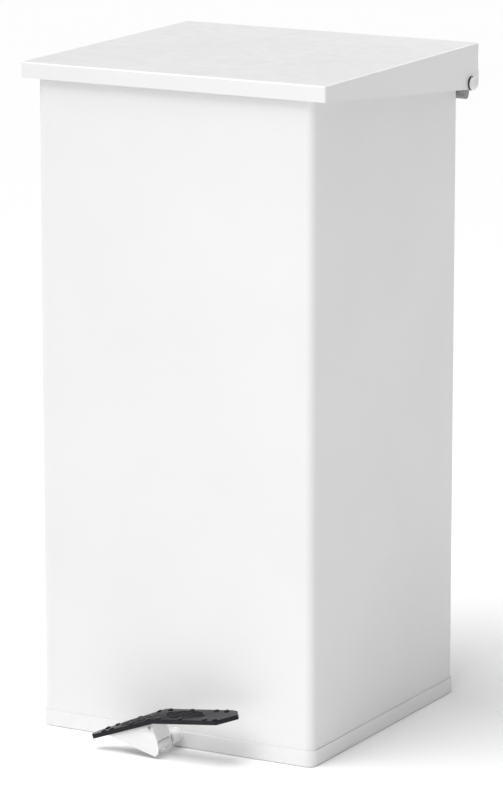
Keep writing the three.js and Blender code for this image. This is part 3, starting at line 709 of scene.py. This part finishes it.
def add_lid():
    lid_panel()
    folded("lid_stiffener", LID_SHEET, STIFFENER_BEND)
    softened("lid_lever", FORGED_ROUND)
    softened("lever_pin", PIN_ROUND)
    for name, side in zip(SIDES, (-1, 1)):
        lid_bush(name, side)


def add_lift_rod():
    bar("lift_rod", "z", BAR_CHAMFER)
    softened("rod_head", ROD_END_ROUND)
    softened("rod_foot", ROD_END_ROUND)
    bar("rod_foot_pin", "y", PIN_CHAMFER)


# ---- pedal ---------------------------------------------------------------------------------------


def pad_wings(shape):
    """The middle of the ridge on the pad's top, and the way along it. Then, for each wing, the way out,
    the way up, and its corners as (distance out, distance along the ridge)."""
    upward = [face for face in shape.faces if face.normal.z > TOP_RISE]
    tops = sorted(upward, key=lambda face: face.calc_area())[-2:]
    ridge = next(edge for edge in tops[0].edges if tops[1] in edge.link_faces)
    front, rear = sorted((vertex.co.copy() for vertex in ridge.verts), key=lambda end: end.y)
    middle = (front + rear) / 2
    along = (rear - front).normalized()
    wings = []
    for face in tops:
        up = face.normal.copy()
        out = along.cross(up)
        if out.dot(face.calc_center_median() - middle) < 0:
            out.negate()
        corners = [(out.dot(vertex.co - middle), along.dot(vertex.co - middle)) for vertex in face.verts]
        wings.append((out, up, corners))
    return middle, along, wings


def wing_edge(corners, distance, sign):
    """How far along the ridge the wing's front (-1) or rear (1) edge lies, at a distance out."""
    crossings = []
    for (u0, v0), (u1, v1) in zip(corners, corners[1:] + corners[:1]):
        if (u0 - distance) * (u1 - distance) < 0:
            crossings.append(v0 + (v1 - v0) * (distance - u0) / (u1 - u0))
    return max(crossings, key=lambda v: v * sign)


def rib_ends(offset, reach):
    """Where a rib, this far from the middle of an oval with these half axes, crosses the oval."""
    along = Vector((math.cos(RIB_SLANT), math.sin(RIB_SLANT)))
    foot = Vector((-along.y, along.x)) * offset
    a = (along.x / reach.x) ** 2 + (along.y / reach.y) ** 2
    b = 2 * (foot.x * along.x / reach.x ** 2 + foot.y * along.y / reach.y ** 2)
    c = (foot.x / reach.x) ** 2 + (foot.y / reach.y) ** 2 - 1
    root = b * b - 4 * a * c
    if root <= 0:
        return None
    return [foot + along * (sign * math.sqrt(root) - b) / (2 * a) for sign in (-1, 1)]


def add_pad_rib(shape, start, end):
    """One rib of the oval, thinned almost to a point at both ends."""
    shares = (-1, -0.97, -0.9, -0.8, 0, 0.8, 0.9, 0.97, 1)
    radii = [RIB_R * math.sqrt(max(0.02, 1 - share ** 6)) for share in shares]
    tube(shape, [start.lerp(end, (share + 1) / 2) for share in shares], radii, sides=12)


def add_pad_oval(shape, centre, right, along, reach):
    """A bead round an oval with these half axes, and slanting ribs all over it."""
    turn = [2 * math.pi * i / 48 for i in range(48)]
    bead = [centre + right * reach.x * math.cos(a) + along * reach.y * math.sin(a) for a in turn]
    tube(shape, bead, OVAL_BEAD, sides=12, closed=True)
    count = int(reach.x / RIB_PITCH)
    for i in range(-count, count + 1):
        ends = rib_ends(i * RIB_PITCH, reach - Vector((OVAL_BEAD, OVAL_BEAD)))
        if ends and (ends[1] - ends[0]).length > RIB_PITCH:
            add_pad_rib(shape, *(centre + right * end.x + along * end.y for end in ends))


def add_pad_stud(shape, place, up):
    """A low domed stud standing on the pad."""
    profile = [(0, 0)] + dome_profile(STUD_R, STUD_HIGH, STUD_BRIM, steps=5)
    turned(shape, profile, facing(up, place - up * STUD_SUNK), sides=24)


def pedal_pad():
    """The moulded pad: on each wing an oval of ribs inside a bead, and studs along both long edges."""
    shape = welded("pedal_pad")
    middle, along, wings = pad_wings(shape)
    level = (wings[0][1] + wings[1][1]).normalized()
    sides = {face for face in shape.faces if abs(face.normal.dot(level)) < SIDE_RISE}
    rounded(shape, [edge for edge in creases(shape) if sides.issuperset(edge.link_faces)], PAD_CORNER, 4)
    rounded(shape, creases(shape), PAD_ROUND, 3)
    for out, up, corners in wings:
        length = max(u for u, _ in corners)
        place = length * OVAL_PLACE
        front, rear = (wing_edge(corners, place, sign) for sign in (-1, 1))
        oval = middle + out * place + along * (front + rear) / 2
        reach = Vector((length * OVAL_LONG, (rear - front) * OVAL_SHORT))
        add_pad_oval(shape, oval, out if out.x > 0 else -out, along, reach)
        for share in STUD_PLACES:
            for sign in (-1, 1):
                across = wing_edge(corners, length * share, sign) - sign * STUD_INSET
                add_pad_stud(shape, middle + out * length * share + along * across, up)
    return made(shape, "pedal_pad_moulded", "pedal_pad")


def fold_pin():
    """A rolled spring pin, open down its middle."""
    radius = round_size("fold_pin", "y")[1]
    ring("fold_pin", "y", 0.55 * radius, SPRING_PIN_EDGE)


def add_pedal():
    bar("pedal_shaft", "y", BAR_CHAMFER)
    folded("pedal_bracket", BRACKET_SHEET, BRACKET_BEND, BRACKET_EDGE)
    fold_pin()
    softened("pedal_plate", PLATE_ROUND)
    pedal_pad()
    ring("shaft_collar", "y", round_size("pedal_shaft", "y")[1] + COLLAR_CLEAR, COLLAR_EDGE)
    softened("crank", FORGED_ROUND)


# ---- bucket --------------------------------------------------------------------------------------


def rectangle_ring(centre, half_x, half_y, radius, height, steps=9):
    """Points round a rectangle with rounded corners."""
    points = []
    for quarter, (sx, sy) in enumerate(((1, 1), (-1, 1), (-1, -1), (1, -1))):
        for step in range(steps + 1):
            angle = math.radians(90 * (quarter + step / steps))
            x = sx * (half_x - radius) + radius * math.cos(angle)
            y = sy * (half_y - radius) + radius * math.sin(angle)
            points.append(Vector((centre.x + x, centre.y + y, height)))
    return points


def swage(share):
    """How far the wall bulges at a share of its height: rounded stiffening beads run all round."""
    return sum(SWAGE_OUT * max(0, 1 - abs(share - level) / SWAGE_HALF) ** 0.5 for level in SWAGE_HEIGHTS)


def bucket_wall():
    """One sheet wrapped round, with stiffening beads and a wired rim."""
    low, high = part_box("bucket_wall")
    centre = (low + high) / 2
    top_half = (high - low) / 2 - Vector((BUCKET_RIM, BUCKET_RIM, 0))
    taper = Vector((BUCKET_TAPER, BUCKET_TAPER, 0))
    rim_low = high.z - 2 * BUCKET_BEAD_R
    heights = [0, 1]
    for level in SWAGE_HEIGHTS:
        heights += [level + SWAGE_HALF * step / 4 for step in range(-4, 5)]
    section = []
    for share in sorted(heights):
        section.append((swage(share), low.z + (rim_low - low.z) * share, share))
    bead = []
    for step in range(13):
        angle = math.radians(-90 + 270 * step / 12)
        out = BUCKET_BEAD_R * (1 + math.cos(angle)) - BUCKET_SHEET
        bead.append((out, high.z - BUCKET_BEAD_R + BUCKET_BEAD_R * math.sin(angle), 1))
    inner = [(out - BUCKET_SHEET, height, share) for out, height, share in reversed(section)]
    shape = bmesh.new()
    rings = []
    for out, height, share in section[:-1] + bead + inner:
        half = top_half - taper * (1 - share)
        points = rectangle_ring(centre, half.x + out, half.y + out, BUCKET_CORNER + out, height)
        rings.append([shape.verts.new(point) for point in points])
    skinned(shape, rings, closed=True)
    return made(shape, "bucket_wall_wrapped", "bucket_wall")


def bucket_handle(name):
    """A bent wire loop, its ends butt-welded in the lower bar."""
    node = f"bucket_handle_{name}"
    low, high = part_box(node)
    radius = (high.x - low.x) / 2
    x = (low.x + high.x) / 2
    front, rear, bottom, top = low.y + radius, high.y - radius, low.z + radius, high.z - radius
    corners = [(front, bottom), (rear, bottom), (rear, top), (front, top)]
    start = ((front + rear) / 2, bottom)
    loop = [Vector((x, y, z)) for y, z in [start] + corners[1:] + corners[:1] + [start]]
    shape = bmesh.new()
    tube(shape, filleted(loop, WIRE_BEND, 6)[:-1], radius, sides=18, closed=True)
    return made(shape, f"{node}_bent", node)


def add_bucket():
    bucket_wall()
    folded("bucket_floor", BUCKET_SHEET, BUCKET_FLOOR_BEND)
    for name in SIDES:
        softened(f"handle_clip_{name}", CLIP_ROUND, 3)
        bucket_handle(name)


add_cabinet()
add_lid()
add_lift_rod()
add_pedal()
add_bucket()

# ---- floor, light and camera ---------------------------------------------------------------------

FLOOR_HALF = 40  # metres
CAMERA_AZIMUTH = math.radians(29.05)  # to the right of straight in front
CAMERA_ELEVATION = math.radians(12.56)
CAMERA_DISTANCE = 5.75
AIM_OFFSET = Vector((0.013, 0.003, -0.015))  # from the middle of the bin
LENS, SENSOR = 198.5, 36  # millimetres


def add_floor():
    finish = Finish("floor", (0.95, 0.95, 0.95), 0.9)
    finish.colour(finish.blend(finish.noise(2, 2), (0.945, 0.945, 0.945), (0.955, 0.955, 0.955)))
    shape = bmesh.new()
    corners = [(-1, -1), (1, -1), (1, 1), (-1, 1)]
    shape.faces.new([shape.verts.new((x * FLOOR_HALF, y * FLOOR_HALF, 0)) for x, y in corners])
    mesh = bpy.data.meshes.new("floor")
    shape.to_mesh(mesh)
    shape.free()
    mesh.materials.append(finish.material)
    floor = bpy.data.objects.new("floor", mesh)
    bpy.context.scene.collection.objects.link(floor)


def add_light(name, kind, energy, place, **settings):
    """A lamp at a place, pointing at the middle of the bin."""
    data = bpy.data.lights.new(name, kind)
    data.energy = energy
    for key, value in settings.items():
        setattr(data, key, value)
    lamp = bpy.data.objects.new(name, data)
    lamp.location = place
    middle = (CAD_BOX[0] + CAD_BOX[1]) / 2
    lamp.rotation_euler = (Vector(place) - middle).to_track_quat("Z", "Y").to_euler()
    lamp.visible_camera = False
    bpy.context.scene.collection.objects.link(lamp)


def add_world(strength):
    world = bpy.data.worlds.new("studio")
    world.use_nodes = True
    background = world.node_tree.nodes["Background"]
    background.inputs["Color"].default_value = (1, 1, 1, 1)
    background.inputs["Strength"].default_value = strength
    bpy.context.scene.world = world


def add_camera():
    data = bpy.data.cameras.new("camera")
    data.lens = LENS
    data.sensor_width = SENSOR
    data.clip_end = 200
    camera = bpy.data.objects.new("camera", data)
    level = Vector((math.sin(CAMERA_AZIMUTH), -math.cos(CAMERA_AZIMUTH), 0)) * math.cos(CAMERA_ELEVATION)
    back = level + Z * math.sin(CAMERA_ELEVATION)
    camera.location = (CAD_BOX[0] + CAD_BOX[1]) / 2 + AIM_OFFSET + back * CAMERA_DISTANCE
    camera.rotation_euler = back.to_track_quat("Z", "Y").to_euler()
    bpy.context.scene.collection.objects.link(camera)
    bpy.context.scene.camera = camera


add_floor()
add_world(0.285)
add_light("sun", "SUN", 2.65, (-0.9, -1.3, 4.4), angle=math.radians(50))
add_light("front_softbox", "AREA", 1.7, (0.25, -1.05, 0.75), shape="RECTANGLE", size=0.5, size_y=1.6)
add_light("rear_softbox", "AREA", 6.0, (0.5, 1.7, 1.8), shape="RECTANGLE", size=1.2, size_y=0.6)
add_camera()
bpy.context.scene.view_settings.view_transform = "Standard"
